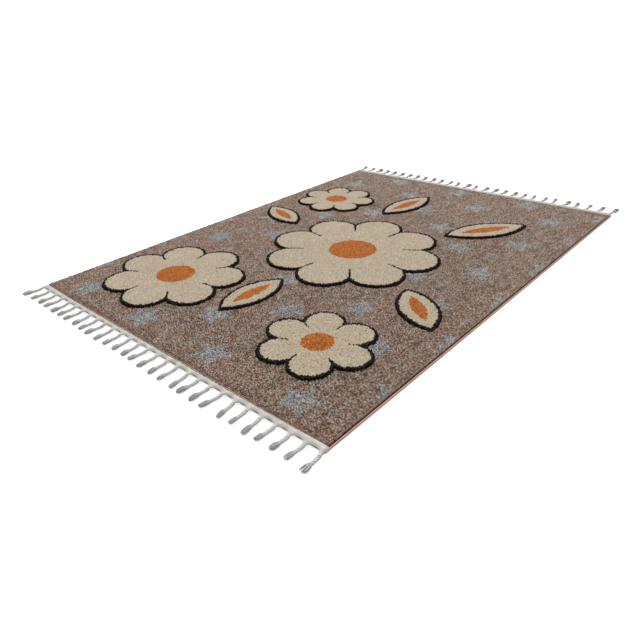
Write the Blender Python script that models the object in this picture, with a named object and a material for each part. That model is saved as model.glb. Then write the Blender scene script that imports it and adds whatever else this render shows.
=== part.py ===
"""Children's rug: one woven body of high and low pile, an overcast yarn binding along each long
side, and a sewn tape with tied tassels along each end.

Metres, +Z up. The origin is on the floor under the middle of the rug. +Y runs along the rug.
"""

import math
import random
from collections import namedtuple

import bmesh
import bpy

# Woven body
RUG_WIDTH = 1.200
RUG_LENGTH = 1.700
PILE_TOP = 0.013
MOTIF_TOP = 0.020
MOTIF_ROOT = 0.006
PILE_SHOULDER = 0.003
MOTIF_SHOULDER = 0.0025
MOTIF_FLARE = 0.0010

# Overcast side bindings
BINDING_WIDTH = 0.0050
BINDING_HEIGHT = 0.0060

# Tape and tassels
TAPE_HALF_WIDTH = RUG_WIDTH / 2 + 0.0045
FRINGE_REACH = 0.088
END_TIP_REACH = 0.612
LOCKS = 3
LOCK_GAP = 0.0009

# Each end's row of tassels, as seen by someone who faces that end
FringeRow = namedtuple("FringeRow", "tassels first_root last_root seed")
NEAR_ROW = FringeRow(tassels=29, first_root=-0.594, last_root=0.602, seed=29)
FAR_ROW = FringeRow(tassels=28, first_root=-0.594, last_root=0.592, seed=28)

# Clearance between neighbouring solids
SEAM_GAP = 0.0003

# Raised motifs of the pile
ARC_STEPS = 7
LEAF_STEPS = 10
Flower = namedtuple("Flower", "x y radius petals turn_deg")
Leaf = namedtuple("Leaf", "x y length width heading_deg")
FLOWERS = (
    Flower(x=0.030, y=-0.020, radius=0.310, petals=8, turn_deg=12),
    Flower(x=-0.310, y=-0.540, radius=0.240, petals=7, turn_deg=30),
    Flower(x=0.335, y=-0.570, radius=0.165, petals=6, turn_deg=0),
    Flower(x=-0.380, y=0.400, radius=0.170, petals=7, turn_deg=20),
)
LEAVES = (
    Leaf(x=0.215, y=0.285, length=0.330, width=0.135, heading_deg=55),
    Leaf(x=0.345, y=-0.170, length=0.250, width=0.120, heading_deg=-42),
    Leaf(x=-0.315, y=0.065, length=0.250, width=0.115, heading_deg=158),
    Leaf(x=0.000, y=-0.345, length=0.270, width=0.120, heading_deg=-92),
    Leaf(x=-0.105, y=0.355, length=0.300, width=0.120, heading_deg=82),
)

# The tape's section: how far out from the rug's end each corner lies, and how high
TapeCorner = namedtuple("TapeCorner", "out height")
TAPE_SECTION = (
    TapeCorner(out=SEAM_GAP, height=0.0),
    TapeCorner(out=SEAM_GAP, height=0.0092),
    TapeCorner(out=0.0035, height=0.0104),
    TapeCorner(out=0.0100, height=0.0113),
    TapeCorner(out=0.0175, height=0.0105),
    TapeCorner(out=0.0175, height=0.0060),
    TapeCorner(out=0.0120, height=0.0),
)
OUTER_TOP = 4
OUTER_BOTTOM = 5

# A tassel from its web to the start of its brush
TasselRing = namedtuple("TasselRing", "out width bottom top")
TASSEL_RINGS = (
    TasselRing(out=0.0215, width=0.0190, bottom=0.0030, top=0.0094),
    TasselRing(out=0.0280, width=0.0112, bottom=0.0000, top=0.0084),
    TasselRing(out=0.0350, width=0.0090, bottom=0.0000, top=0.0074),
    TasselRing(out=0.0530, width=0.0084, bottom=0.0000, top=0.0070),
    TasselRing(out=0.0565, width=0.0100, bottom=0.0000, top=0.0090),
    TasselRing(out=0.0600, width=0.0094, bottom=0.0000, top=0.0086),
)
BRUSH_START = TasselRing(out=0.0630, width=0.0132, bottom=0.0000, top=0.0100)
WEB_WIDTH = 0.0320
SIDE_OVERHANG = 0.0010

# A lock of the brush: how far out, its width as a share of its root, its height, and how far the
# brush has spread there as a share of its width at the knot
LockRing = namedtuple("LockRing", "out width_share top spread")
LOCK_RINGS = (
    LockRing(out=0.0760, width_share=1.10, top=0.0110, spread=1.16),
    LockRing(out=FRINGE_REACH, width_share=0.88, top=0.0066, spread=1.14),
)


def new_material(name, colour, roughness):
    """A plain yarn finish."""
    material = bpy.data.materials.new(name)
    material.use_nodes = True
    shader = material.node_tree.nodes["Principled BSDF"]
    shader.inputs["Base Color"].default_value = (*colour, 1.0)
    shader.inputs["Roughness"].default_value = roughness
    shader.inputs["Metallic"].default_value = 0.0
    return material


def new_object(name, mesh_source, material):
    """Turn a finished bmesh into a scene object with one material."""
    bmesh.ops.recalc_face_normals(mesh_source, faces=mesh_source.faces)
    mesh = bpy.data.meshes.new(name)
    mesh_source.to_mesh(mesh)
    mesh_source.free()
    mesh.materials.append(material)
    obj = bpy.data.objects.new(name, mesh)
    bpy.context.scene.collection.objects.link(obj)
    return obj


def flower_outline(flower, inset):
    """Points round a flower of round petals, moved inward by inset."""
    half_angle = math.pi / flower.petals
    reach = math.sin(half_angle)
    petal_centre = flower.radius / (1 + 1.16 * reach)
    petal_radius = flower.radius - petal_centre - inset
    crease = petal_centre * math.cos(half_angle) + math.sqrt(
        petal_radius**2 - (petal_centre * reach) ** 2
    )
    sweep = math.atan2(crease * reach, crease * math.cos(half_angle) - petal_centre)
    points = []
    for petal in range(flower.petals):
        heading = 2 * math.pi * petal / flower.petals + math.radians(flower.turn_deg)
        centre_x = flower.x + petal_centre * math.cos(heading)
        centre_y = flower.y + petal_centre * math.sin(heading)
        for step in range(ARC_STEPS):
            angle = heading - sweep + 2 * sweep * step / ARC_STEPS
            x = centre_x + petal_radius * math.cos(angle)
            y = centre_y + petal_radius * math.sin(angle)
            points.append((x, y))
    return points


def leaf_outline(leaf, inset):
    """Points round a leaf with two arched sides and two tips, moved inward by inset."""
    half_length = leaf.length / 2
    half_width = leaf.width / 2
    arc_radius = (half_length**2 + half_width**2) / (2 * half_width)
    arc_centre = arc_radius - half_width
    arc_radius -= inset
    sweep = math.acos(arc_centre / arc_radius)
    heading = math.radians(leaf.heading_deg)
    middle_x = leaf.x + half_length * math.cos(heading)
    middle_y = leaf.y + half_length * math.sin(heading)
    points = []
    for side in (1, -1):
        for step in range(LEAF_STEPS):
            angle = -sweep + 2 * sweep * step / LEAF_STEPS
            along = -side * arc_radius * math.sin(angle)
            across = side * (arc_radius * math.cos(angle) - arc_centre)
            x = middle_x + along * math.cos(heading) - across * math.sin(heading)
            y = middle_y + along * math.sin(heading) + across * math.cos(heading)
            points.append((x, y))
    return points


def add_lofted_solid(bm, rings):
    """Close a stack of rings, each a list of points, into one solid."""
    loops = [[bm.verts.new(point) for point in ring] for ring in rings]
    for lower, upper in zip(loops, loops[1:]):
        count = len(lower)
        for i in range(count):
            j = (i + 1) % count
            bm.faces.new((lower[i], lower[j], upper[j], upper[i]))
    bm.faces.new(reversed(loops[0]))
    bm.faces.new(loops[-1])


def raised_solid(bm, outline, shape):
    """One raised motif: near-upright walls with a rounded shoulder at the top."""
    levels = (
        (MOTIF_ROOT, -MOTIF_FLARE),
        (MOTIF_TOP - MOTIF_SHOULDER, 0.0),
        (MOTIF_TOP - 0.3 * MOTIF_SHOULDER, 0.3 * MOTIF_SHOULDER),
        (MOTIF_TOP, MOTIF_SHOULDER),
    )
    rings = [[(x, y, z) for x, y in outline(shape, inset)] for z, inset in levels]
    add_lofted_solid(bm, rings)


def make_motif_cutter():
    """All raised motifs as one guide mesh, to be joined with the body."""
    bm = bmesh.new()
    for flower in FLOWERS:
        raised_solid(bm, flower_outline, flower)
    for leaf in LEAVES:
        raised_solid(bm, leaf_outline, leaf)
    guide = new_object("motif_guide", bm, new_material("guide", (0.5, 0.5, 0.5), 1.0))
    guide.hide_render = True
    guide.display_type = "WIRE"
    return guide


def make_pile_field(material):
    """The woven body: a slab with rounded pile shoulders and the raised motifs."""
    bm = bmesh.new()
    bmesh.ops.create_cube(bm, size=1.0)
    bmesh.ops.scale(bm, vec=(RUG_WIDTH, RUG_LENGTH, PILE_TOP), verts=bm.verts)
    bmesh.ops.translate(bm, vec=(0, 0, PILE_TOP / 2), verts=bm.verts)
    rim = [
        edge
        for edge in bm.edges
        if all(vert.co.z > PILE_TOP / 2 for vert in edge.verts)
    ]
    bmesh.ops.bevel(
        bm,
        geom=rim,
        offset=PILE_SHOULDER,
        segments=2,
        profile=0.5,
        affect="EDGES",
        material=-1,
    )
    body = new_object("pile_field", bm, material)
    union = body.modifiers.new("raised motifs", "BOOLEAN")
    union.operation = "UNION"
    union.solver = "EXACT"
    union.object = make_motif_cutter()
    return body


def make_side_binding(name, side, material):
    """An overcast bead along one long side, flat where it lies on the floor."""
    inner = RUG_WIDTH / 2 + SEAM_GAP
    outer = inner + BINDING_WIDTH
    low = 0.25 * BINDING_HEIGHT
    high = 0.75 * BINDING_HEIGHT
    foot = 0.35 * BINDING_WIDTH
    crown = 0.25 * BINDING_WIDTH
    section = (
        (inner, 0.0),
        (outer - foot, 0.0),
        (outer, low),
        (outer, high),
        (outer - foot, BINDING_HEIGHT),
        (inner + crown, BINDING_HEIGHT),
        (inner, high),
    )
    half_length = RUG_LENGTH / 2
    bm = bmesh.new()
    add_lofted_solid(
        bm, [[(side * x, y, z) for x, z in section] for y in (-half_length, half_length)]
    )
    return new_object(name, bm, material)


def connect(bm, first, second):
    """Join two rings of four corners with four sides."""
    for i in range(4):
        j = (i + 1) % 4
        bm.faces.new((first[i], first[j], second[j], second[i]))


def add_brush(bm, last_ring, line, length_share):
    """The tassel's open end: locks that stand apart, with their roots on the knot."""
    pitch = BRUSH_START.width / LOCKS
    lock_width = pitch - LOCK_GAP
    bounds = []
    for lock in range(LOCKS):
        middle = (lock - (LOCKS - 1) / 2) * pitch
        bounds += [middle - lock_width / 2, middle + lock_width / 2]
    tops = [bm.verts.new(line(BRUSH_START.out, x, BRUSH_START.top)) for x in bounds]
    bottoms = [bm.verts.new(line(BRUSH_START.out, x, 0.0)) for x in bounds]
    left_top, left_bottom, right_bottom, right_top = last_ring
    bm.faces.new((left_top, left_bottom, bottoms[0], tops[0]))
    bm.faces.new((right_bottom, right_top, tops[-1], bottoms[-1]))
    bm.faces.new((right_top, left_top, *tops))
    bm.faces.new((left_bottom, right_bottom, *reversed(bottoms)))
    for gap in range(1, len(bounds) - 1, 2):
        bm.faces.new((tops[gap], bottoms[gap], bottoms[gap + 1], tops[gap + 1]))
    for lock in range(LOCKS):
        left, right = 2 * lock, 2 * lock + 1
        ring = (tops[left], bottoms[left], bottoms[right], tops[right])
        middle = (lock - (LOCKS - 1) / 2) * pitch
        for shape in LOCK_RINGS:
            out = BRUSH_START.out + (shape.out - BRUSH_START.out) * length_share
            half = lock_width * shape.width_share / 2
            centre = middle * shape.spread
            corners = (
                line(out, centre - half, shape.top),
                line(out, centre - half, 0.0),
                line(out, centre + half, 0.0),
                line(out, centre + half, shape.top),
            )
            following = [bm.verts.new(corner) for corner in corners]
            connect(bm, ring, following)
            ring = following
        bm.faces.new(ring)


def add_tassel(bm, root_ring, root_x, lean, curl, length_share):
    """One tassel from the tape's outer edge: web, neck, tie and brush, lying on the floor."""
    tape_edge = TAPE_SECTION[OUTER_TOP].out

    def line(out, across, height):
        run = out - tape_edge
        x = root_x + lean * run + curl * run * run
        return (x + across, -RUG_LENGTH / 2 - out, height)

    ring = root_ring
    outer_room = TAPE_HALF_WIDTH + SIDE_OVERHANG - abs(root_x)
    for shape in TASSEL_RINGS:
        half = shape.width / 2
        outer_half = min(half, outer_room)
        left, right = (-outer_half, half) if root_x < 0 else (-half, outer_half)
        corners = (
            line(shape.out, left, shape.top),
            line(shape.out, left, shape.bottom),
            line(shape.out, right, shape.bottom),
            line(shape.out, right, shape.top),
        )
        following = [bm.verts.new(corner) for corner in corners]
        connect(bm, ring, following)
        ring = following
    add_brush(bm, ring, line, length_share)


def tassel_plan(row):
    """Where each tassel's root lies, how it leans and curls, and its brush's share of full length.

    The first and last tassel are full ones, and lean so that they end at the same reach sideways.
    """
    chooser = random.Random(row.seed)
    last = row.tassels - 1
    pitch = (row.last_root - row.first_root) / last
    run = FRINGE_REACH - TAPE_SECTION[OUTER_TOP].out
    end_tip = END_TIP_REACH - BRUSH_START.width / 2
    plan = []
    for k in range(row.tassels):
        root_x = row.first_root + k * pitch
        lean = chooser.uniform(-0.10, 0.10)
        curl = chooser.uniform(-1.0, 1.0)
        length_share = chooser.uniform(0.82, 1.0)
        if k in (0, last):
            lean = (math.copysign(end_tip, root_x) - root_x) / run
            curl = 0.0
            length_share = 1.0
        plan.append((root_x, lean, curl, length_share))
    return plan


def make_fringe(name, row, turned, material):
    """Tape and tassels of one end. The far end is made like the near one and turned half round."""
    bm = bmesh.new()
    plan = tassel_plan(row)
    columns = [-TAPE_HALF_WIDTH]
    for root_x, *_ in plan:
        columns.append(max(root_x - WEB_WIDTH / 2, -TAPE_HALF_WIDTH + 0.001))
        columns.append(min(root_x + WEB_WIDTH / 2, TAPE_HALF_WIDTH - 0.001))
    columns.append(TAPE_HALF_WIDTH)
    rings = [
        [bm.verts.new((x, -RUG_LENGTH / 2 - corner.out, corner.height)) for corner in TAPE_SECTION]
        for x in columns
    ]
    corners = len(TAPE_SECTION)
    for column in range(len(columns) - 1):
        here, there = rings[column], rings[column + 1]
        is_root = column % 2 == 1
        for i in range(corners):
            j = (i + 1) % corners
            if not (is_root and i == OUTER_TOP):
                bm.faces.new((here[i], here[j], there[j], there[i]))
        if is_root:
            root = (
                here[OUTER_TOP],
                here[OUTER_BOTTOM],
                there[OUTER_BOTTOM],
                there[OUTER_TOP],
            )
            add_tassel(bm, root, *plan[column // 2])
    bm.faces.new(rings[0])
    bm.faces.new(reversed(rings[-1]))
    if turned:
        for vert in bm.verts:
            vert.co.x, vert.co.y = -vert.co.x, -vert.co.y
    return new_object(name, bm, material)


def build():
    """Clear the scene and make every piece of the rug."""
    for old in list(bpy.data.objects):
        bpy.data.objects.remove(old, do_unlink=True)
    pile_yarn = new_material("taupe pile yarn", (0.27, 0.20, 0.17), 0.95)
    binding_yarn = new_material("salmon overcast yarn", (0.62, 0.30, 0.20), 0.85)
    cotton = new_material("cream cotton", (0.68, 0.64, 0.58), 0.90)
    make_pile_field(pile_yarn)
    make_side_binding("side_binding_left", -1, binding_yarn)
    make_side_binding("side_binding_right", 1, binding_yarn)
    make_fringe("fringe_near", NEAR_ROW, False, cotton)
    make_fringe("fringe_far", FAR_ROW, True, cotton)


build()
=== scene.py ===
import math
import random
from collections import namedtuple

import bmesh
import bpy
import numpy as np
from mathutils import Euler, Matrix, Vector


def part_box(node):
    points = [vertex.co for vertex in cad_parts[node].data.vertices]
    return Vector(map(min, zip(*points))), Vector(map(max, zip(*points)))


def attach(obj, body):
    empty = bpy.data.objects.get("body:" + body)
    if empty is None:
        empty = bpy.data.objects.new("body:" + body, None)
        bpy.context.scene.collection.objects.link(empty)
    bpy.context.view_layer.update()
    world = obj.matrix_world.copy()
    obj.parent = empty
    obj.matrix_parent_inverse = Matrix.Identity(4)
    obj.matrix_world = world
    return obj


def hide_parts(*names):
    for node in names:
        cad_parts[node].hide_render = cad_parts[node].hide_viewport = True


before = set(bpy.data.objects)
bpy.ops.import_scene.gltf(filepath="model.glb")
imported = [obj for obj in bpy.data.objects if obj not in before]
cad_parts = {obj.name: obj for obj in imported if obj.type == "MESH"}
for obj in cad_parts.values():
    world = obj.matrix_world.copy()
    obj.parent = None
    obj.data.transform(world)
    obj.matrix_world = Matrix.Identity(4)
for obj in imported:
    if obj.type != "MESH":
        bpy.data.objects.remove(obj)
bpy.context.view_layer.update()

# The woven body. Jute weft and polypropylene pile yarn leave the loom as one cloth: a flat backing
# and the firm bed in which every tuft stands. It is the frame's own form, drawn in on the pile side
# by the length over which the tufts stand open.
body_low, body_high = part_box("pile_field")
ground_top = 0.0130
raised_top = body_high.z
open_pile = 0.0036
back_height = 0.0010
wave_mm_at_scale_one = 314


def add_node(material, kind, inputs=None, stops=None, **settings):
    """Add one shader node to a material or world. A socket given as an input is linked, and any
    other input is a value."""
    made = material.node_tree.nodes.new(kind)
    for setting, value in settings.items():
        setattr(made, setting, value)
    for name, value in (inputs or {}).items():
        if isinstance(value, bpy.types.NodeSocket):
            material.node_tree.links.new(value, made.inputs[name])
        else:
            made.inputs[name].default_value = value
    if stops:
        elements = made.color_ramp.elements
        while len(elements) < len(stops):
            elements.new(1.0)
        for element, (place, colour) in zip(elements, stops):
            element.position = place
            element.color = colour
    return made


def srgb(code):
    """The linear colour, with alpha, of an sRGB hex code."""
    parts = [int(code[i : i + 2], 16) / 255 for i in (1, 3, 5)]
    linear = [p / 12.92 if p <= 0.04045 else ((p + 0.055) / 1.055) ** 2.4 for p in parts]
    return (*linear, 1.0)


def new_material(name):
    """A material that holds only its Principled shader, and that shader."""
    made = bpy.data.materials.new(name)
    made.use_nodes = True
    return made, made.node_tree.nodes["Principled BSDF"]


def finish_piece(piece, slot, *nodes):
    """Seat a finished piece on the rug's one body, in place of the plain solids that it stands for."""
    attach(piece, "root")
    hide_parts(*nodes)


def make_piece(name, mesh, *materials):
    """A smooth-shaded object of this mesh and these materials."""
    for material in materials:
        mesh.materials.append(material)
    mesh.shade_smooth()
    piece = bpy.data.objects.new(name, mesh)
    bpy.context.scene.collection.objects.link(piece)
    return piece


def jute_backing():
    """Jute weft under a thin latex coat: matt tan ribs across the rug, with painted shade in the
    hollows between them.
    """
    rib_mm = 4.2
    material, shader = new_material("jute_backing")
    place = add_node(material, "ShaderNodeTexCoord").outputs["Object"]
    rib_scale = wave_mm_at_scale_one / rib_mm
    wefts, warps = [
        add_node(
            material,
            "ShaderNodeTexWave",
            {"Vector": place, "Scale": rib_scale, "Distortion": 0.6, "Detail": 2.0},
            bands_direction=direction,
        )
        for direction in ("Y", "X")
    ]
    weave = add_node(
        material,
        "ShaderNodeMath",
        {0: wefts.outputs["Fac"], 1: warps.outputs["Fac"]},
        operation="MULTIPLY",
    )
    # The darker stops fall in the weave's hollows, as painted shade.
    tones = add_node(
        material,
        "ShaderNodeValToRGB",
        {"Fac": weave.outputs[0]},
        stops=((0.0, srgb("#8a7458")), (0.5, srgb("#b39c7b")), (1.0, srgb("#c9b695"))),
    )
    bump = add_node(
        material,
        "ShaderNodeBump",
        {"Height": weave.outputs[0], "Strength": 0.6, "Distance": 0.0008},
    )
    material.node_tree.links.new(tones.outputs["Color"], shader.inputs["Base Color"])
    material.node_tree.links.new(bump.outputs["Normal"], shader.inputs["Normal"])
    shader.inputs["Roughness"].default_value = 0.92
    return material


def pile_root_shade():
    """The lower length of the pile yarn deep among the tufts: a dark brown painted for the shade there,
    varying from tuft to tuft.
    """
    tuft_mm = 4.5
    material, shader = new_material("pile_root_shade")
    place = add_node(material, "ShaderNodeTexCoord").outputs["Object"]
    mottle = add_node(material, "ShaderNodeTexNoise", {"Vector": place, "Scale": 1000 / tuft_mm})
    tones = add_node(
        material,
        "ShaderNodeValToRGB",
        {"Fac": mottle.outputs["Fac"]},
        stops=((0.3, srgb("#2a1b15")), (0.7, srgb("#4a362c"))),
    )
    material.node_tree.links.new(tones.outputs["Color"], shader.inputs["Base Color"])
    shader.inputs["Roughness"].default_value = 0.95
    return material


bed = bmesh.new()
bed.from_mesh(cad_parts["pile_field"].data)
bmesh.ops.remove_doubles(bed, verts=bed.verts, dist=0.00002)
bmesh.ops.recalc_face_normals(bed, faces=bed.faces)
bed.normal_update()
for vert in bed.verts:
    if vert.co.z > back_height:
        vert.co -= vert.normal * open_pile
# The underside takes the jute, and every other face the painted shade of the pile's roots.
for face in bed.faces:
    face.material_index = 0 if face.normal.z < -0.5 else 1
body_mesh = bpy.data.meshes.new("woven_body")
bed.to_mesh(body_mesh)
bed.free()
woven_body = make_piece("woven_body", body_mesh, jute_backing(), pile_root_shade())
finish_piece(woven_body, "pile", "pile_field")

# The ground pile. Heat-set yarn of mixed brown, taupe and grey fibres is cut level over the cloth,
# with stars of grey-blue yarn woven in at the same height. Its end rows bulge out over the tapes.
# A tuft here stands for about three real ones, the smallest that shows from a step away.
column_pitch = 0.0045
row_pitch = 0.0041
tuft_radius = 0.0034
thinnest, thickest = 0.86, 1.12
rim_inset = 0.0030
rim_rows = 1.5
strew_across, strew_along = 0.0005, 0.0008
same_line = 0.0010
raised_gap = 0.0010
level_spread, lowest_share = 0.0011, 1.5
streak_width, streak_length = 0.0075, 0.0240
streak_level, streak_tone = 0.4, 0.12
tone_spread = 0.30
clump_size = 0.0130
chance_lean, clump_lean, side_lean = 0.0009, 0.0007, 0.0008
near_overhang, far_overhang = 0.0045, 0.0015
overhang_rows = 3
near_push, push_width = 0.0040, 0.0300
bow_power = 6
bake_margin = 0.005
Flower = namedtuple("Flower", "x y radius petals turn_deg")
Leaf = namedtuple("Leaf", "x y length width heading_deg")
flowers = (
    Flower(x=0.030, y=-0.020, radius=0.310, petals=8, turn_deg=12),
    Flower(x=-0.310, y=-0.540, radius=0.240, petals=7, turn_deg=30),
    Flower(x=0.335, y=-0.570, radius=0.165, petals=6, turn_deg=0),
    Flower(x=-0.380, y=0.400, radius=0.170, petals=7, turn_deg=20),
)
leaves = (
    Leaf(x=0.215, y=0.285, length=0.330, width=0.135, heading_deg=55),
    Leaf(x=0.345, y=-0.170, length=0.250, width=0.120, heading_deg=-42),
    Leaf(x=-0.315, y=0.065, length=0.250, width=0.115, heading_deg=158),
    Leaf(x=0.000, y=-0.345, length=0.270, width=0.120, heading_deg=-92),
    Leaf(x=-0.105, y=0.355, length=0.300, width=0.120, heading_deg=82),
)
petal_spread = 1.16
star_reach = 0.062
star_waist = 0.47
star_blur = 0.0022
star_column_pitch = 0.307
star_row_pitch = 0.2846
first_star = Vector((body_low.x + 0.137, body_low.y + 0.0745))
staggered_star = Vector((body_low.x - 0.016, body_low.y + 0.2180))
chance = np.random.default_rng(17)


def flower_depth(flower, x, y):
    """How far inside a flower of round petals each point lies, in metres, and less than 0 outside."""
    half_angle = math.pi / flower.petals
    petal_centre = flower.radius / (1 + petal_spread * math.sin(half_angle))
    petal_radius = flower.radius - petal_centre
    heart = petal_centre * math.cos(half_angle)
    depth = heart - np.hypot(x - flower.x, y - flower.y)
    for petal in range(flower.petals):
        heading = 2 * half_angle * petal + math.radians(flower.turn_deg)
        across = x - flower.x - petal_centre * math.cos(heading)
        along = y - flower.y - petal_centre * math.sin(heading)
        depth = np.maximum(depth, petal_radius - np.hypot(across, along))
    return depth


def leaf_depth(leaf, x, y):
    """How far inside a leaf with two arched sides each point lies, in metres."""
    half_length, half_width = leaf.length / 2, leaf.width / 2
    arc_radius = (half_length**2 + half_width**2) / (2 * half_width)
    heading = math.radians(leaf.heading_deg)
    right = x - leaf.x - half_length * math.cos(heading)
    up = y - leaf.y - half_length * math.sin(heading)
    along = right * math.cos(heading) + up * math.sin(heading)
    across = np.abs(up * math.cos(heading) - right * math.sin(heading))
    return arc_radius - np.hypot(along, across + arc_radius - half_width)


def motif_depth(x, y):
    """How far inside the raised pile each point lies, in metres."""
    depths = [flower_depth(flower, x, y) for flower in flowers]
    depths += [leaf_depth(leaf, x, y) for leaf in leaves]
    return np.max(depths, axis=0)


def in_star(x, y):
    """Whether each point lies in one of the flat stars, which stand in staggered rows."""
    found = np.zeros(len(x), bool)
    half_point = math.pi / 5
    tip = np.array([star_reach, 0.0])
    waist = star_reach * star_waist * np.array([math.cos(half_point), math.sin(half_point)])
    edge = waist - tip
    for first in (first_star, staggered_star):
        across = (x - first.x + star_column_pitch / 2) % star_column_pitch - star_column_pitch / 2
        along = (y - first.y + star_row_pitch / 2) % star_row_pitch - star_row_pitch / 2
        turn = np.arctan2(across, along)
        turn = np.abs((turn + half_point) % (2 * half_point) - half_point)
        reach = np.hypot(across, along)
        out = reach * np.cos(turn) - tip[0]
        aside = reach * np.sin(turn) - tip[1]
        found |= edge[0] * aside - edge[1] * out > 0
    return found


def drift(x, y, across, along):
    """A smooth chance value, mostly within -1 to 1, that changes over these lengths in x and y."""
    u = (x - body_low.x) / across + 1
    v = (y - body_low.y) / along + 1
    knots = chance.normal(0, 0.7, (int(v.max()) + 2, int(u.max()) + 2))
    i, j = u.astype(int), v.astype(int)
    s, t = u - i, v - j
    s, t = s * s * (3 - 2 * s), t * t * (3 - 2 * t)
    lower = knots[j, i] * (1 - s) + knots[j, i + 1] * s
    upper = knots[j + 1, i] * (1 - s) + knots[j + 1, i + 1] * s
    return lower * (1 - t) + upper * t


def cut_tuft(sides, *profile):
    """The skin of one tuft, open at its root. The profile gives radius and height up to the tip. Its
    points and faces are sorted, because the operators make them in an order that varies."""
    bm = bmesh.new()
    bmesh.ops.create_circle(bm, segments=sides, radius=profile[0][0])
    bmesh.ops.translate(bm, vec=(0, 0, profile[0][1]), verts=bm.verts)
    rim = list(bm.edges)
    for (radius, height), (next_radius, next_height) in zip(profile, profile[1:]):
        grown = bmesh.ops.extrude_edge_only(bm, edges=rim)["geom"]
        ring = [part for part in grown if isinstance(part, bmesh.types.BMVert)]
        rim = [edge for edge in bm.edges if all(vert in ring for vert in edge.verts)]
        if next_radius > 0:
            widen = next_radius / radius
            bmesh.ops.scale(bm, vec=(widen, widen, 1), verts=ring)
            bmesh.ops.translate(bm, vec=(0, 0, next_height - height), verts=ring)
        else:
            bmesh.ops.pointmerge(bm, verts=ring, merge_co=(0, 0, next_height))
    bmesh.ops.triangulate(bm, faces=bm.faces)
    bmesh.ops.recalc_face_normals(bm, faces=bm.faces)
    if sum(face.normal.z * face.calc_area() for face in bm.faces) < 0:
        bmesh.ops.reverse_faces(bm, faces=bm.faces)
    bm.verts.index_update()
    points = np.array([vert.co for vert in bm.verts])
    corners = np.array([[vert.index for vert in face.verts] for face in bm.faces])
    bm.free()
    order = np.lexsort(points.T)
    corners = np.argsort(order)[corners]
    first = corners.argmin(axis=1)[:, None]
    corners = np.take_along_axis(corners, (first + np.arange(3)) % 3, axis=1)
    return points[order], corners[np.lexsort(corners.T)]


def plant(name, tuft, spots, restless, bias, material):
    """One joined mesh with a copy of the tuft on every spot. Chance sets the turn, thickness, length
    and tone of each, and it leans by its bias, by chance and with its clump."""
    points, corners = tuft
    count = len(spots)
    streak = drift(*spots.T, streak_width, streak_length)
    clump = [drift(*spots.T, clump_size, clump_size) for axis in range(2)]
    own_lean = chance.normal(0, chance_lean, (count, 2))
    lean = bias + restless * (own_lean + clump_lean * np.transpose(clump))
    lower = np.clip(chance.uniform(0, 1, count) - streak_level * streak, 0, lowest_share)
    lift = -level_spread * restless * lower
    own_tone = chance.normal(0, tone_spread, count)
    tone = np.clip(0.5 + restless * (own_tone + streak_tone * streak), 0, 1)
    turn = chance.uniform(0, 2 * math.pi, count)[:, None]
    thick = chance.uniform(thinnest, thickest, count)[:, None]
    tip = (points[:, 2] - points[:, 2].min()) / np.ptp(points[:, 2])
    x = thick * (points[:, 0] * np.cos(turn) - points[:, 1] * np.sin(turn))
    y = thick * (points[:, 0] * np.sin(turn) + points[:, 1] * np.cos(turn))
    # The bake's layout lays each tuft's skin flat round its own spot.
    reach = np.maximum(np.hypot(x, y), 1e-9)
    unfolded = 0.5 * row_pitch * (1 - tip) / reach
    flat = np.stack([x * unfolded + spots[:, :1], y * unfolded + spots[:, 1:]], axis=2)
    flat = flat.reshape(-1, 2)
    flat = bake_margin + (1 - 2 * bake_margin) * (flat - flat.min(0)) / np.ptp(flat, axis=0)
    x += spots[:, :1] + lean[:, :1] * tip
    y += spots[:, 1:] + lean[:, 1:] * tip
    z = points[:, 2] + lift[:, None] * tip
    mesh = bpy.data.meshes.new(name)
    faces = (corners[None] + len(points) * np.arange(count)[:, None, None]).reshape(-1, 3)
    mesh.from_pydata(np.stack([x, y, z], axis=2).reshape(-1, 3), [], faces)
    for attribute, values in (
        ("tone", np.repeat(tone, len(points))),
        ("tip", np.tile(tip, count)),
    ):
        mesh.attributes.new(attribute, "FLOAT", "POINT").data.foreach_set("value", values)
    mesh.uv_layers.new(name="OFBake").uv.foreach_set("vector", flat[faces].ravel())
    return make_piece(name, mesh, material)


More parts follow.
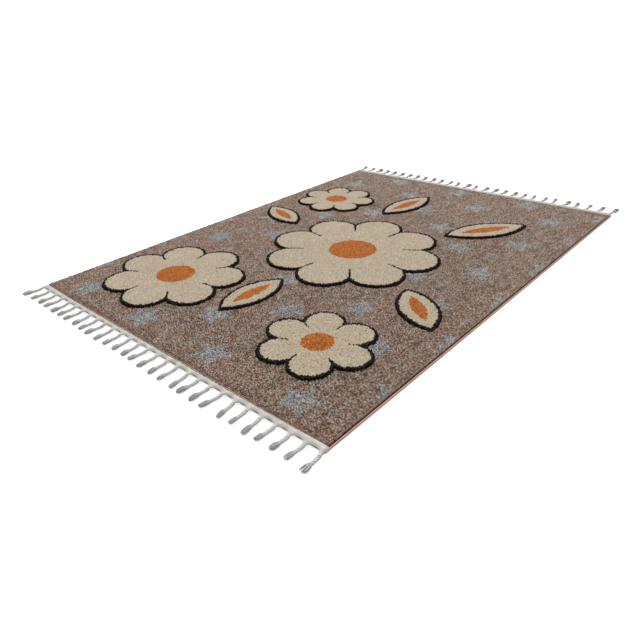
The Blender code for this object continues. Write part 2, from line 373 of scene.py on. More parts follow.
def pile_yarn(name, root, tones, root_shade_until=0.0, root_shade_gone_at=0.8, sheen=0.15, tints=None):
    """Matt cut pile yarn. Each tuft has its own tone and drifts with its neighbours, a painted shade
    darkens it towards its root, and the dye drifts a little warmer and cooler over the cloth. The root
    colour and the two shares of the tuft's height say where that painted shade lies."""
    fibre_mm, patch_mm, dye_mm = 1.1, 45.0, 30.0
    patch_tone = 0.3
    material, shader = new_material(name)
    place = add_node(material, "ShaderNodeTexCoord").outputs["Object"]
    tone = add_node(material, "ShaderNodeAttribute", attribute_name="tone")
    tip = add_node(material, "ShaderNodeAttribute", attribute_name="tip")
    patch = add_node(
        material,
        "ShaderNodeTexNoise",
        {"Vector": place, "Scale": 1000 / patch_mm, "Detail": 3.0},
    )
    offset = add_node(
        material, "ShaderNodeMath", {0: patch.outputs["Fac"], 1: 0.5}, operation="SUBTRACT"
    )
    toned = add_node(
        material,
        "ShaderNodeMath",
        {0: offset.outputs[0], 1: patch_tone, 2: tone.outputs["Fac"]},
        operation="MULTIPLY_ADD",
    )
    ramp = add_node(material, "ShaderNodeValToRGB", {"Fac": toned.outputs[0]}, stops=tones)
    dye = add_node(
        material,
        "ShaderNodeTexNoise",
        {"Vector": place, "Scale": 1000 / dye_mm, "Detail": 2.0},
    )
    tint = add_node(
        material,
        "ShaderNodeValToRGB",
        {"Fac": dye.outputs["Fac"]},
        stops=tints or ((0.0, srgb("#ffffff")), (1.0, srgb("#ffffff"))),
    )
    dyed = add_node(
        material,
        "ShaderNodeMix",
        {"Factor": 1.0, "A": ramp.outputs["Color"], "B": tint.outputs["Color"]},
        data_type="RGBA",
        blend_type="MULTIPLY",
    )
    # The painted shade at the roots: the root colour fades into the yarn's own colour up each tuft.
    depth = add_node(
        material,
        "ShaderNodeMapRange",
        {"Value": tip.outputs["Fac"], "From Min": root_shade_until, "From Max": root_shade_gone_at},
    )
    colour = add_node(
        material,
        "ShaderNodeMix",
        {"Factor": depth.outputs[0], "A": srgb(root), "B": dyed.outputs["Result"]},
        data_type="RGBA",
    )
    fibre = add_node(
        material,
        "ShaderNodeTexNoise",
        {"Vector": place, "Scale": 1000 / fibre_mm, "Detail": 1.0},
    )
    bump = add_node(
        material,
        "ShaderNodeBump",
        {"Height": fibre.outputs["Fac"], "Strength": 0.5, "Distance": 0.0006},
    )
    material.node_tree.links.new(colour.outputs["Result"], shader.inputs["Base Color"])
    material.node_tree.links.new(bump.outputs["Normal"], shader.inputs["Normal"])
    shader.inputs["Roughness"].default_value = 0.95
    shader.inputs["Sheen Weight"].default_value = sheen
    shader.inputs["Sheen Roughness"].default_value = 0.6
    shader.inputs["Specular IOR Level"].default_value = 0.2
    return material


edge_x = body_high.x - rim_inset
edge_y = body_high.y - rim_inset
columns = np.linspace(-edge_x, edge_x, round(2 * edge_x / column_pitch) + 1)
rows = np.linspace(-edge_y, edge_y, round(2 * edge_y / row_pitch) + 1)
grid = np.stack(np.meshgrid(columns, rows), axis=2).reshape(-1, 2)
on_side = np.abs(grid[:, 0]) > edge_x - same_line
on_end = np.abs(grid[:, 1]) > edge_y - same_line
on_rim = on_side | (np.abs(grid[:, 1]) > edge_y - rim_rows * row_pitch)
strewn = grid + chance.normal(0, (strew_across, strew_along), grid.shape)
strewn[on_side, 0] = grid[on_side, 0]
strewn[on_end, 1] = grid[on_end, 1]
end_bow = 1 - np.abs(grid[:, 0] / edge_x) ** bow_power
pushed = np.clip(1 - (edge_y + grid[:, 1]) / push_width, 0, 1)
strewn[:, 1] -= near_push * end_bow * pushed
depth_at = motif_depth(strewn[:, 0], strewn[:, 1])
is_ground = depth_at < -raised_gap
is_star = in_star(*(strewn + chance.normal(0, star_blur, grid.shape)).T)
short_tuft = cut_tuft(4, (tuft_radius, ground_top - open_pile), (0.0, ground_top))
rim_tuft = cut_tuft(
    4, (0.0022, 0.0020), (0.0028, 0.0095), (0.0018, 0.0122), (0.0, ground_top)
)
heather = ((0.35, srgb("#fff0e8")), (0.50, srgb("#ffffff")), (0.65, srgb("#eef2ea")))
taupe_tones = (
    (0.00, srgb("#785440")),
    (0.30, srgb("#997d69")),
    (0.60, srgb("#b6a08f")),
    (1.00, srgb("#d4c7bb")),
)
end_share = np.clip(1 - (edge_y - np.abs(grid[:, 1])) / (overhang_rows * row_pitch), 0, 1)
overhang = np.where(grid[:, 1] < 0, near_overhang, far_overhang)
lean_out = np.stack([side_lean * on_side, overhang * end_bow * end_share], axis=1) * np.sign(grid)
# The second colour given to each pile yarn is the painted shade at its tufts' roots.
taupe_yarn = pile_yarn("taupe_heather_pile", "#3c261c", taupe_tones, tints=heather)
star_yarn = pile_yarn(
    "grey_blue_pile",
    "#4a4643",
    (
        (0.00, srgb("#858482")),
        (0.50, srgb("#b3b4b4")),
        (1.00, srgb("#dadbdb")),
    ),
    tints=heather,
)
ground_parts = (
    ("ground_pile_near", is_ground & ~is_star & ~on_rim & (strewn[:, 1] < 0), taupe_yarn),
    ("ground_pile_far", is_ground & ~is_star & ~on_rim & (strewn[:, 1] >= 0), taupe_yarn),
    ("star_pile", is_ground & is_star & ~on_rim, star_yarn),
)
pile_pieces = []
for name, chosen, yarn in ground_parts:
    pile_pieces.append(plant(name, short_tuft, strewn[chosen], 1.0, lean_out[chosen], yarn))
# The rim's tufts show the rug's flank, which carries a red-brown painted shade over most of its height.
rim_yarn = pile_yarn(
    "taupe_pile_flank", "#7c4230", taupe_tones, root_shade_until=0.3, root_shade_gone_at=1.0, tints=heather
)
pile_pieces.append(plant("rim_pile", rim_tuft, strewn[on_rim], 0.5, lean_out[on_rim], rim_yarn))

# The raised pile. The flowers and leaves are woven with longer pile and stand 7 mm over the ground,
# with cream petals, orange hearts, black creases and a black outline two tufts wide. The outline's
# tufts are drawn at full height down to the ground, and the outer ones lean out, for a ragged edge.
outline_width = 0.0100
outline_lean, lean_width = 0.0015, 0.0060
crease_width = 0.0066
crease_start = 0.56
raised_pitch = 0.0049
raised_strew = 0.0007
raised_inset = 0.0018
slope_step = 0.0020
heart_share = 0.27
leaf_heart_length, leaf_heart_width, leaf_heart_shift = 0.6, 0.34, 0.2


def raised_yarn(x, y):
    """The yarn of each raised point: 0 cream, 1 orange, 2 black."""
    yarn = np.zeros(len(x), int)
    for flower in flowers:
        reach = np.hypot(x - flower.x, y - flower.y)
        inside = flower_depth(flower, x, y) > 0
        step = 2 * math.pi / flower.petals
        turn = np.arctan2(y - flower.y, x - flower.x) - math.radians(flower.turn_deg)
        off_crease = reach * np.abs(np.sin((turn % step) - step / 2))
        on_crease = (off_crease < crease_width / 2) & (reach > crease_start * flower.radius)
        yarn[inside & on_crease] = 2
        yarn[inside & (reach < heart_share * flower.radius)] = 1
    for leaf in leaves:
        heading = math.radians(leaf.heading_deg)
        middle = Leaf(
            leaf.x + leaf_heart_shift * leaf.length * math.cos(heading),
            leaf.y + leaf_heart_shift * leaf.length * math.sin(heading),
            leaf_heart_length * leaf.length,
            leaf_heart_width * leaf.width,
            leaf.heading_deg,
        )
        yarn[leaf_depth(middle, x, y) > 0] = 1
    yarn[motif_depth(x, y) < outline_width] = 2
    return yarn


raised_columns = np.arange(-edge_x, edge_x, raised_pitch)
raised_rows = np.arange(-edge_y, edge_y, raised_pitch)
raised_grid = np.stack(np.meshgrid(raised_columns, raised_rows), axis=2).reshape(-1, 2)
raised_grid += chance.normal(0, raised_strew, raised_grid.shape)
raised_grid = raised_grid[motif_depth(*raised_grid.T) > raised_inset]
yarn_of = raised_yarn(*raised_grid.T)
slope = np.stack(
    [
        motif_depth(*(raised_grid + shift).T) - motif_depth(*(raised_grid - shift).T)
        for shift in ((slope_step, 0.0), (0.0, slope_step))
    ],
    axis=1,
)
slope /= np.maximum(np.linalg.norm(slope, axis=1, keepdims=True), 1e-9)
near_edge = motif_depth(*raised_grid.T)[:, None] < lean_width
raised_tuft = cut_tuft(5, (0.0038, raised_top - open_pile), (0.0, raised_top))
tall_tuft = cut_tuft(
    4,
    (0.0029, ground_top - open_pile),
    (0.0030, raised_top - 0.0030),
    (0.0018, raised_top - 0.0008),
    (0.0, raised_top),
)
# As on the ground, each yarn's second colour is the painted shade at its tufts' roots.
cream_yarn = pile_yarn(
    "cream_pile",
    "#a39479",
    (
        (0.00, srgb("#b0a28a")),
        (0.50, srgb("#cbbca6")),
        (1.00, srgb("#e0d3c0")),
    ),
)
orange_yarn = pile_yarn(
    "orange_pile",
    "#85430f",
    (
        (0.00, srgb("#a2561a")),
        (0.50, srgb("#c8762f")),
        (1.00, srgb("#e0934f")),
    ),
    sheen=0.05,
)
black_yarn = pile_yarn(
    "black_pile",
    "#080605",
    (
        (0.00, srgb("#0d0a08")),
        (0.70, srgb("#1a1613")),
        (1.00, srgb("#322c26")),
    ),
    sheen=0.03,
)
raised_parts = (
    ("cream_pile", 0, raised_tuft, 0.6, cream_yarn),
    ("orange_pile", 1, raised_tuft, 0.6, orange_yarn),
    ("outline_pile", 2, tall_tuft, 0.9, black_yarn),
)
for name, kind, tuft, restless, yarn in raised_parts:
    chosen = yarn_of == kind
    bias = -outline_lean * slope[chosen] * near_edge[chosen]
    pile_pieces.append(plant(name, tuft, raised_grid[chosen], restless, bias, yarn))
for piece in pile_pieces:
    finish_piece(piece, "pile", "pile_field")

# The side bindings. A salmon polyester yarn is overcast round the rug's cut long sides, each wrap
# close against the last, so that the warps can't fray. It covers the backing's edge and no more.
wrap_pitch = 0.0030
wrap_relief = 0.0005
wrap_slant = 0.0016
wrap_power = 0.6
# Painted light and shade on the wraps: dark below this height, fading in over this length, then a tone
# for the hollows between wraps and a paler one, a painted highlight, for their crowns.
painted_shade_height, painted_shade_fade = 0.0033, 0.0015
hollow_shade_tone, crown_highlight_tone = 0.25, 0.85
round_steps = 12
steps_per_wrap = 4


def overcast_yarn():
    """Salmon polyester yarn, with a painted highlight on each wrap's crown, painted shade in the
    hollows between wraps, and a dark painted shade low down, where the wraps turn under.
    """
    mottle_mm, mottle_tone = 6.0, 0.2
    material, shader = new_material("salmon_overcast_yarn")
    place = add_node(material, "ShaderNodeTexCoord").outputs["Object"]
    # The painted light and shade that the bead's shape sets on each point.
    height = add_node(material, "ShaderNodeAttribute", attribute_name="painted_light_and_shade")
    mottle = add_node(material, "ShaderNodeTexNoise", {"Vector": place, "Scale": 1000 / mottle_mm})
    mixed = add_node(
        material,
        "ShaderNodeMath",
        {0: mottle.outputs["Fac"], 1: mottle_tone, 2: height.outputs["Fac"]},
        operation="MULTIPLY_ADD",
    )
    # The dark end is painted shade and the pale end a painted highlight.
    tones = add_node(
        material,
        "ShaderNodeValToRGB",
        {"Fac": mixed.outputs[0]},
        stops=((0.0, srgb("#3a1c14")), (0.5, srgb("#b87058")), (1.0, srgb("#f2cdb9"))),
    )
    material.node_tree.links.new(tones.outputs["Color"], shader.inputs["Base Color"])
    shader.inputs["Roughness"].default_value = 0.7
    shader.inputs["Sheen Weight"].default_value = 0.2
    return material


def overcast_edge(name, node, side, material):
    """A bead of slanting wraps in the place of one plain side bead."""
    low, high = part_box(node)
    centre_x, centre_z = (low.x + high.x) / 2, (low.z + high.z) / 2
    half_width = (high.x - low.x) / 2 - wrap_relief
    half_height = (high.z - low.z) / 2 - wrap_relief
    wraps = round((high.y - low.y) / wrap_pitch)
    bm = bmesh.new()
    bmesh.ops.create_grid(
        bm, x_segments=round_steps, y_segments=wraps * steps_per_wrap, size=0.5
    )
    painted_light_and_shade = bm.verts.layers.float.new("painted_light_and_shade")
    for vert in bm.verts:
        angle = 2 * math.pi * (vert.co.x + 0.5)
        along = low.y + (vert.co.y + 0.5) * (high.y - low.y)
        phase = (along + wrap_slant * math.sin(angle)) / wrap_pitch
        ridge = abs(math.cos(math.pi * phase)) ** wrap_power
        x = centre_x + side * (half_width + wrap_relief * ridge) * math.cos(angle)
        z = centre_z + (half_height + wrap_relief * ridge) * math.sin(angle)
        # Painted shade low on the bead and in the hollows between wraps, painted highlight on the
        # crowns.
        lit = min(max((z - painted_shade_height) / painted_shade_fade, 0.0), 1.0)
        vert[painted_light_and_shade] = lit * (hollow_shade_tone + (crown_highlight_tone - hollow_shade_tone) * ridge)
        vert.co = (x, along, max(z, low.z))
    bmesh.ops.remove_doubles(bm, verts=bm.verts, dist=0.00001)
    ends = [edge for edge in bm.edges if edge.is_boundary]
    bmesh.ops.holes_fill(bm, edges=ends, sides=0)
    bmesh.ops.recalc_face_normals(bm, faces=bm.faces)
    mesh = bpy.data.meshes.new(name)
    bm.to_mesh(mesh)
    bm.free()
    return make_piece(name, mesh, material)


salmon = overcast_yarn()
bindings = []
for name, node, side in (
    ("overcast_side_left", "side_binding_left", -1),
    ("overcast_side_right", "side_binding_right", 1),
):
    bindings.append(overcast_edge(name, node, side, salmon))
    finish_piece(bindings[-1], "binding", node)

# The end tapes. A cream cotton tape is folded over each cut end and sewn down. Its loose warps are
# gathered into webs, each drawn to a neck, so that its edge hangs in round scallops. The near tape
# is a little narrower, and the far one stands a little higher and droops less.
tape_overlap = 0.0045
tape_half_width = body_high.x + tape_overlap
tape_fold = 0.0175
near_fold = 0.0152
tape_thickness = 0.0016
tape_rows, web_rows, under_columns = 9, 12, 120
web_end = 0.0300
web_fall = 0.0024
gather_width, gather_height = 0.0120, 0.0012
thread_spread = 2.5
neck_half_width = 0.0045
scallop_steps, scallop_power = 16, 0.9
closest_threads = 0.0002
# Each pair gives how far out from the pile's end, and the height of the tape's top there.
tape_line = (
    (0.0003, 0.0092),
    (0.0035, 0.0104),
    (0.0100, 0.0113),
    (0.0140, 0.0112),
    (0.0175, 0.0105),
)
# Each pair gives the share of the way to the fold, and the height of the lower layer there.
tape_under = ((0.04, 0.0017), (0.69, 0.0017), (0.86, 0.0022), (0.97, 0.0040))
edge_droop, droop_width, droop_power = 0.0044, 0.0095, 1.6
side_roll, side_height = 0.0045, 0.0042
far_rise, rise_width = 0.0032, 0.0100
far_droop_share = 0.25
fringe_reach = 0.0880
rug_half_width, brush_half_width = 0.6120, 0.0066
end_tip = rug_half_width - brush_half_width
most_lean, most_curl, least_share = 0.10, 1.0, 0.82
Tassel = namedtuple("Tassel", "root lean curl share")


def tassel_plan(count, first_root, last_root, seed):
    """Each tassel's root, lean, curl and share of full length, as the frame's own tassels have them."""
    chooser = random.Random(seed)
    plan = []
    for k in range(count):
        root = first_root + (last_root - first_root) * k / (count - 1)
        lean = chooser.uniform(-most_lean, most_lean)
        curl = chooser.uniform(-most_curl, most_curl)
        share = chooser.uniform(least_share, 1.0)
        if k in (0, count - 1):
            lean = (math.copysign(end_tip, root) - root) / (fringe_reach - tape_fold)
            curl = 0.0
            share = 1.0
        plan.append(Tassel(root, lean, curl, share))
    return plan


def cotton_tape():
    """Bleached cotton tape: matt cream with close ribs, faintly yellowed and greyed in patches."""
    rib_mm, patch_mm = 1.3, 17.0
    rib_scale = wave_mm_at_scale_one / rib_mm
    material, shader = new_material("cotton_tape")
    place = add_node(material, "ShaderNodeTexCoord").outputs["Object"]
    threads = add_node(material, "ShaderNodeUVMap", uv_map="threads")
    ribs = add_node(
        material,
        "ShaderNodeTexWave",
        {"Vector": threads.outputs["UV"], "Scale": rib_scale, "Distortion": 0.4},
        bands_direction="X",
    )
    patches = add_node(
        material,
        "ShaderNodeTexNoise",
        {"Vector": place, "Scale": 1000 / patch_mm, "Detail": 3.0},
    )
    tones = add_node(
        material,
        "ShaderNodeValToRGB",
        {"Fac": patches.outputs["Fac"]},
        stops=((0.3, srgb("#c3beb5")), (0.5, srgb("#cfcbc3")), (0.7, srgb("#dad6cf"))),
    )
    bump = add_node(
        material,
        "ShaderNodeBump",
        {"Height": ribs.outputs["Fac"], "Strength": 0.5, "Distance": 0.0005},
    )
    material.node_tree.links.new(tones.outputs["Color"], shader.inputs["Base Color"])
    material.node_tree.links.new(bump.outputs["Normal"], shader.inputs["Normal"])
    shader.inputs["Roughness"].default_value = 0.9
    shader.inputs["Sheen Weight"].default_value = 0.15
    return material


def scallop_stations(plan, fold):
    """Where the tape's cross threads stand along it, and how far out each one reaches."""
    stations = [(-tape_half_width, fold)]
    for here, there in zip([None, *plan], [*plan, None]):
        start = here.root + neck_half_width if here else -tape_half_width
        stop = there.root - neck_half_width if there else tape_half_width
        middle, half = (start + stop) / 2, (stop - start) / 2
        for i in range(scallop_steps + 1):
            angle = math.pi * i / scallop_steps
            if not here:
                angle = math.pi / 2 + angle / 2
                middle, half = start, stop - start
            elif not there:
                angle = angle / 2
                middle, half = stop, stop - start
            out = web_end - (web_end - fold) * math.sin(angle) ** scallop_power
            stations.append((middle - half * math.cos(angle), out))
        if there:
            stations.append((there.root, web_end))
    kept = [stations[0]]
    for station in stations[1:]:
        if station[0] > kept[-1][0] + closest_threads:
            kept.append(station)
    return kept


def at_place(line, place):
    """The value that a line of (place, value) pairs has at this place."""
    places, values = zip(*line)
    return float(np.interp(place, places, values))


def nearest_tassel(plan, x):
    """The tassel whose root is nearest to x."""
    return min(plan, key=lambda tassel: abs(tassel.root - x))


def tape_and_webs(name, plan, turned, material):
    """The folded tape with its scalloped webs, and the layer of it that lies under the rug's end."""
    end = body_low.y
    fold = tape_fold if turned else near_fold
    rise = far_rise if turned else 0.0
    droop = edge_droop * (far_droop_share if turned else 1.0)
    stations = scallop_stations(plan, fold)
    inner_edge = tape_line[0][0]
    bm = bmesh.new()
    threads = bm.loops.layers.uv.new("threads")
    bmesh.ops.create_grid(
        bm, x_segments=len(stations) - 1, y_segments=tape_rows + web_rows, size=0.5
    )
    on_cloth = {}
    for vert in bm.verts:
        column = round((vert.co.x + 0.5) * (len(stations) - 1))
        row = round((vert.co.y + 0.5) * (tape_rows + web_rows))
        x, reach = stations[column]
        if row <= tape_rows:
            out = inner_edge + (fold - inner_edge) * row / tape_rows
        else:
            out = fold + (reach - fold) * (row - tape_rows) / web_rows
        tassel = nearest_tassel(plan, x)
        run = max(out - fold, 0.0)
        share = run / (web_end - fold)
        height = at_place(tape_line, out) - web_fall * share
        loose = 1 - (reach - fold) / (web_end - fold)
        height -= droop * loose * max(0.0, 1 - (reach - out) / droop_width) ** droop_power
        height += rise * min(1.0, out / rise_width)
        rolled = min(max(1 - (tape_half_width - abs(x)) / side_roll, 0.0), 1.0)
        height += (side_height - height) * rolled**2 * (1 - share)
        gathered = max(0.0, 1 - abs(x - tassel.root) / gather_width)
        height += gather_height * gathered * share
        on_cloth[vert] = (x, out)
        vert.co = (x + tassel.lean * run + tassel.curl * run * run, end - out, height)
    for face in bm.faces:
        for loop in face.loops:
            x, out = on_cloth[loop.vert]
            root = nearest_tassel(plan, x).root
            spread = 1 + thread_spread * max(out - fold, 0.0) / (web_end - fold)
            loop[threads].uv = (root + (x - root) * spread, out)
    under = bmesh.ops.create_grid(
        bm, x_segments=under_columns, y_segments=len(tape_under) - 1, size=0.5
    )
    for vert in under["verts"]:
        row = round((vert.co.y + 0.5) * (len(tape_under) - 1))
        out_share, height = tape_under[row]
        vert.co = (2 * tape_half_width * vert.co.x, end - fold * out_share, height)
    if turned:
        for vert in bm.verts:
            vert.co.x, vert.co.y = -vert.co.x, -vert.co.y
    bmesh.ops.recalc_face_normals(bm, faces=bm.faces)
    bm.normal_update()
    for face in bm.faces:
        if face.normal.z < 0:
            face.normal_flip()
    mesh = bpy.data.meshes.new(name)
    bm.to_mesh(mesh)
    bm.free()
    tape = make_piece(name, mesh, material)
    thick = tape.modifiers.new("cloth thickness", "SOLIDIFY")
    thick.thickness = tape_thickness
    thick.offset = -1.0
    return tape


near_plan = tassel_plan(count=29, first_root=-0.594, last_root=0.602, seed=29)
far_plan = tassel_plan(count=28, first_root=-0.594, last_root=0.592, seed=28)
tape_cotton = cotton_tape()
tapes = [
    tape_and_webs("end_tape_near", near_plan, turned=False, material=tape_cotton),
    tape_and_webs("end_tape_far", far_plan, turned=True, material=tape_cotton),
]
finish_piece(tapes[0], "fringe", "fringe_near")
finish_piece(tapes[1], "fringe", "fringe_far")

# The tassels. Below each web the cotton warps are twisted into a flat neck of three plies, tied with
# two turns of the same yarn, and left open as a brush that lies on the floor. The far row is fuller
# and longer, has a heavier painted shade on its brushes and stands a little higher, and the last
# tassel of the near row is frayed.
plies = 3
ply_radius = 0.0031
ply_offset = 0.0023
ply_pitch = 0.0200
ply_steps = 16
web_overlap, first_thickness = 0.0080, 0.4
ply_start = web_end - web_overlap
neck_widening, neck_flattening = 1.15, 0.62
# Each pair gives how far out from the pile's end, and the height of the neck's middle there.
neck_line = ((ply_start, 0.0074), (0.0360, 0.0047), (0.0520, 0.0048))
tie_start = 0.0535
tie_length = 0.0042
tie_steps, tie_steps_per_turn = 28, 12
tie_radius, tie_half_width, tie_half_height = 0.0009, 0.0040, 0.0034
tie_height = 0.0044
tie_pinch, pinch_width = 0.25, 0.0060
pinch_place = tie_start + 0.0020
ply_end = tie_start + 0.0030
brush_start = 0.0565
strand_start = brush_start - 0.0030
strand_radius, strand_taper = 0.0014, 0.4
strands, strand_steps = 21, 7
# Each pair gives the share of the brush's length, and a size there.
brush_half_widths = ((0.0, 0.0032), (0.25, 0.0052), (0.65, 0.0064), (1.0, 0.0056))
brush_middles = ((0.0, 0.0050), (0.45, 0.0066), (1.0, 0.0054))
brush_half_heights = ((0.0, 0.0030), (0.45, 0.0052), (1.0, 0.0040))
tip_rounding, tip_unevenness = 0.0045, 0.0030
strand_sway = 0.0011
frayed_spread = 1.7
near_fullness, far_fullness = 1.15, 1.25
least_fullness, most_fullness = 0.86, 1.14
far_stand = 0.0042
far_extra_length = 0.0050


def tassel_cotton(name, brush_shade_colour, brush_shade_share):
    """Soft cotton yarn: matt off-white on the necks, with a painted shade that greys it towards the
    brush's open end.
    """
    mottle_mm = 7.0
    material, shader = new_material(name)
    place = add_node(material, "ShaderNodeTexCoord").outputs["Object"]
    mottle = add_node(
        material,
        "ShaderNodeTexNoise",
        {"Vector": place, "Scale": 1000 / mottle_mm, "Detail": 4.0},
    )
    tones = add_node(
        material,
        "ShaderNodeValToRGB",
        {"Fac": mottle.outputs["Fac"]},
        stops=((0.3, srgb("#c4c2c0")), (0.5, srgb("#d6d5d3")), (0.7, srgb("#e4e3e1"))),
    )
    parts = add_node(material, "ShaderNodeSeparateXYZ", {"Vector": place})
    along = add_node(
        material, "ShaderNodeMath", {0: parts.outputs["Y"]}, operation="ABSOLUTE"
    )
    # Painted shade among the brush's loose strands, growing from the tie to the end.
    brush_shade = add_node(
        material,
        "ShaderNodeMapRange",
        {
            "Value": along.outputs[0],
            "From Min": body_high.y + tie_start,
            "From Max": body_high.y + fringe_reach,
            "To Max": brush_shade_share,
        },
    )
    colour = add_node(
        material,
        "ShaderNodeMix",
        {"Factor": brush_shade.outputs[0], "A": tones.outputs["Color"], "B": srgb(brush_shade_colour)},
        data_type="RGBA",
    )
    bump = add_node(
        material,
        "ShaderNodeBump",
        {"Height": mottle.outputs["Fac"], "Strength": 0.4, "Distance": 0.0006},
    )
    material.node_tree.links.new(colour.outputs["Result"], shader.inputs["Base Color"])
    material.node_tree.links.new(bump.outputs["Normal"], shader.inputs["Normal"])
    shader.inputs["Roughness"].default_value = 0.88
    shader.inputs["Sheen Weight"].default_value = 0.15
    return material


def add_run(curve, points, radii):
    """One length of yarn through these points."""
    spline = curve.splines.new("POLY")
    spline.points.add(len(points) - 1)
    for target, point, radius in zip(spline.points, points, radii):
        target.co = (*point, 1.0)
        target.radius = radius


def yarn_curve(name, sides_level):
    """An empty set of round yarn lengths, whose points give their own radius in metres."""
    curve = bpy.data.curves.new(name, "CURVE")
    curve.dimensions = "3D"
    curve.bevel_depth = 1.0
    curve.bevel_resolution = sides_level
    curve.use_fill_caps = True
    return curve


def tassel_row(name, plan, turned, seed, material):
    """All tassels of one end, laid out on the floor and joined into one mesh."""
    chooser = random.Random(seed)
    facing = -1 if turned else 1
    stand = far_stand if turned else 0.0
    twisted = yarn_curve("twisted", 1)
    loose = yarn_curve("loose", 0)

    def place(tassel, out, across, height):
        run = out - tape_fold
        x = tassel.root + tassel.lean * run + tassel.curl * run * run + across
        return (facing * x, facing * (body_low.y - out), height + stand)

    for tassel in plan:
        turn = chooser.uniform(0, 2 * math.pi)
        fullness = chooser.uniform(least_fullness, most_fullness)
        fullness *= far_fullness if turned else near_fullness
        for ply in range(plies):
            points, radii = [], []
            for i in range(ply_steps + 1):
                out = ply_start + (ply_end - ply_start) * i / ply_steps
                settled = min(1.0, first_thickness + (out - ply_start) / web_overlap)
                pinched = 1 - tie_pinch * max(0.0, 1 - abs(out - pinch_place) / pinch_width)
                angle = turn + 2 * math.pi * (ply / plies + out / ply_pitch)
                offset = ply_offset * pinched
                across = neck_widening * offset * settled * math.cos(angle)
                height = at_place(neck_line, out) + neck_flattening * offset * math.sin(angle)
                points.append(place(tassel, out, across, height))
                radii.append(ply_radius * settled * pinched)
            add_run(twisted, points, radii)
        points = []
        for i in range(tie_steps + 1):
            angle = 2 * math.pi * i / tie_steps_per_turn + turn
            out = tie_start + tie_length * i / tie_steps
            across = tie_half_width * math.cos(angle)
            height = tie_height + tie_half_height * math.sin(angle)
            points.append(place(tassel, out, across, height))
        add_run(twisted, points, [tie_radius] * len(points))
        full = brush_start + (fringe_reach - brush_start) * tassel.share
        if turned:
            full += far_extra_length
        frayed = frayed_spread if tassel is plan[-1] and not turned else 1.0
        for strand in range(strands):
            ring = math.sqrt((strand + 0.5) / strands)
            angle = strand * math.pi * (3 - math.sqrt(5))
            side, rise = ring * math.cos(angle), ring * math.sin(angle)
            tip = full - tip_rounding * ring**2 - chooser.uniform(0.0, tip_unevenness) * frayed
            sway = chooser.uniform(-strand_sway, strand_sway) * frayed**2
            points, radii = [], []
            for i in range(strand_steps + 1):
                t = i / strand_steps
                out = strand_start + (tip - strand_start) * t
                half_width = at_place(brush_half_widths, t) * fullness
                half_height = at_place(brush_half_heights, t) * fullness
                across = side * half_width * (1 + (frayed - 1) * t) + sway * t * t
                height = at_place(brush_middles, t) + rise * half_height
                points.append(place(tassel, out, across, max(height, strand_radius - stand)))
                radii.append(strand_radius * (1 - strand_taper * t**3))
            add_run(loose, points, radii)
    parts = []
    for curve in (twisted, loose):
        carrier = bpy.data.objects.new("yarn carrier", curve)
        bpy.context.scene.collection.objects.link(carrier)
        bpy.context.view_layer.update()
        parts.append(bpy.data.meshes.new_from_object(carrier))
        bpy.data.objects.remove(carrier)
    bm = bmesh.new()
    for part in parts:
        bm.from_mesh(part)
        bpy.data.meshes.remove(part)
    bmesh.ops.recalc_face_normals(bm, faces=bm.faces)
    mesh = bpy.data.meshes.new(name)
    bm.to_mesh(mesh)
    bm.free()
    return make_piece(name, mesh, material)


# The far row's brushes take a much heavier painted shade than the near row's.
off_white = tassel_cotton("tassel_cotton", "#8c8b89", 0.12)
painted_shade_cotton = tassel_cotton("tassel_cotton_painted_shade", "#7b7a78", 0.9)
tassel_rows = [
    tassel_row("tassels_near", near_plan, turned=False, seed=5, material=off_white),
    tassel_row("tassels_far", far_plan, turned=True, seed=6, material=painted_shade_cotton),
]
finish_piece(tassel_rows[0], "fringe", "fringe_near")
finish_piece(tassel_rows[1], "fringe", "fringe_far")

# The studio. Pale seamless paper lies under the rug. One soft lamp shines from beyond its far left
# corner, and even white surroundings fill the shadows a little, as in a catalogue picture.
paper_size = 160.0
paper_gap = 0.0003
paper_glow = 0.75
fill_light = 0.44
seen_light = 1.05
lamp_power = 2.6
lamp_softness_deg = 25
lamp_place = Vector((-1.6, 1.7, 3.0))


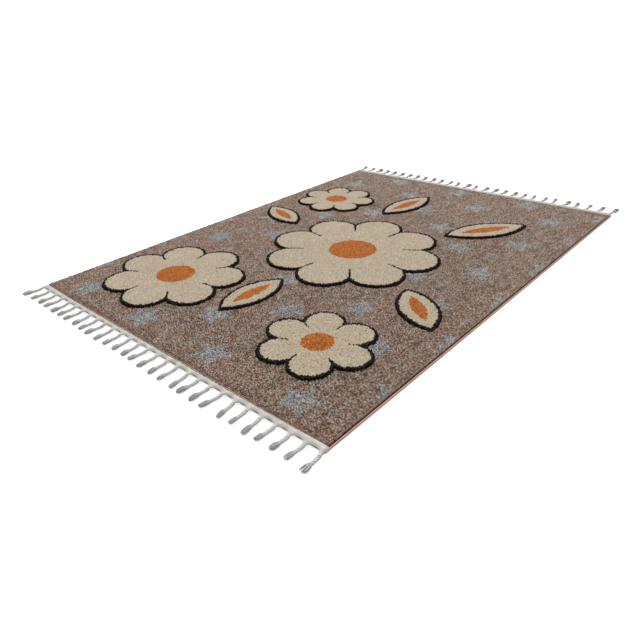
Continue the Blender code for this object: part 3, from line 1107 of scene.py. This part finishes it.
def studio_paper():
    """Matt paper with a very faint grain. It glows for the camera alone, so that it prints white."""
    grain_mm = 25.0
    material, shader = new_material("studio_paper")
    place = add_node(material, "ShaderNodeTexCoord").outputs["Object"]
    grain = add_node(material, "ShaderNodeTexNoise", {"Vector": place, "Scale": 1000 / grain_mm})
    tones = add_node(
        material,
        "ShaderNodeValToRGB",
        {"Fac": grain.outputs["Fac"]},
        stops=((0.3, srgb("#d6d6d6")), (0.7, srgb("#dddddd"))),
    )
    rays = add_node(material, "ShaderNodeLightPath")
    glow = add_node(
        material,
        "ShaderNodeMapRange",
        {"Value": rays.outputs["Is Camera Ray"], "To Max": paper_glow},
    )
    material.node_tree.links.new(tones.outputs["Color"], shader.inputs["Base Color"])
    material.node_tree.links.new(glow.outputs[0], shader.inputs["Emission Strength"])
    shader.inputs["Emission Color"].default_value = (1, 1, 1, 1)
    shader.inputs["Roughness"].default_value = 0.9
    return material


paper = bmesh.new()
bmesh.ops.create_grid(paper, x_segments=1, y_segments=1, size=paper_size / 2)
bmesh.ops.translate(paper, vec=(0, 0, -paper_gap), verts=paper.verts)
floor_mesh = bpy.data.meshes.new("floor")
paper.to_mesh(floor_mesh)
paper.free()
floor = make_piece("floor", floor_mesh, studio_paper())
lamp = bpy.data.lights.new("soft lamp", "SUN")
lamp.energy = lamp_power
lamp.angle = math.radians(lamp_softness_deg)
lamp_stand = bpy.data.objects.new("soft lamp", lamp)
lamp_stand.rotation_euler = (-lamp_place).to_track_quat("-Z", "Y").to_euler()
bpy.context.scene.collection.objects.link(lamp_stand)
surroundings = bpy.data.worlds.new("white surroundings")
surroundings.use_nodes = True
rays = add_node(surroundings, "ShaderNodeLightPath")
strength = add_node(
    surroundings,
    "ShaderNodeMapRange",
    {"Value": rays.outputs["Is Camera Ray"], "To Min": fill_light, "To Max": seen_light},
)
sky = surroundings.node_tree.nodes["Background"]
sky.inputs["Color"].default_value = (1, 1, 1, 1)
surroundings.node_tree.links.new(strength.outputs[0], sky.inputs["Strength"])
bpy.context.scene.world = surroundings
bpy.context.scene.view_settings.view_transform = "Standard"

# The camera. It stands low by the rug's near right corner and is rolled a little, as the picture's
# corners show. The lens is a 32 mm one, and a small shift gives the picture's framing.
lens_mm, film_width_mm = 31.585, 36.0
picture_shift = 0.0624
nearest_seen, farthest_seen = 0.05, 60.0
camera_place = (1.1488, -1.5086, 0.7858)
camera_turn_deg = (60.555, 2.825, 43.674)
lens = bpy.data.cameras.new("camera")
lens.lens = lens_mm
lens.sensor_width = film_width_mm
lens.shift_x = picture_shift
lens.clip_start = nearest_seen
lens.clip_end = farthest_seen
camera = bpy.data.objects.new("camera", lens)
camera.location = camera_place
camera.rotation_euler = Euler([math.radians(angle) for angle in camera_turn_deg])
bpy.context.scene.collection.objects.link(camera)
bpy.context.scene.camera = camera
